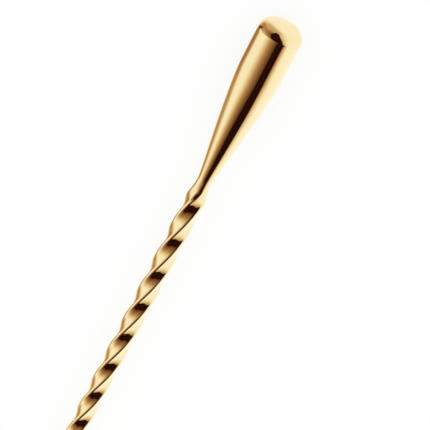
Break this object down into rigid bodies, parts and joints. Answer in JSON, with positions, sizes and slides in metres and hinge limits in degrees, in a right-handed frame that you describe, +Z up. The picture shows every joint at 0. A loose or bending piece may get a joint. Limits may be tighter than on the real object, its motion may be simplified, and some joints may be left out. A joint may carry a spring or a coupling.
{
  "type": "bar spoon",
  "caption": "Long mixing spoon with a twisted four-cornered shaft, a turned teardrop weight at one end and a deep egg-shaped bowl at the other.",
  "frame": {"origin": "under the middle of the spoon's length, on the plane it lies on, in its plane of symmetry", "axes": "+X along the spoon to the teardrop weight, +Z up, out of the open side of the bowl"},
  "size_m": [0.2995, 0.0246, 0.0117],
  "materials": {
    "gold_plating": "polished",
    "plated_braze": "polished"
  },
  "bodies": {
    "root": {"teardrop_head": "gold_plating", "twisted_shaft": "gold_plating", "bowl": "gold_plating", "head_braze": "plated_braze", "bowl_braze": "plated_braze"}
  },
  "joints": []
}
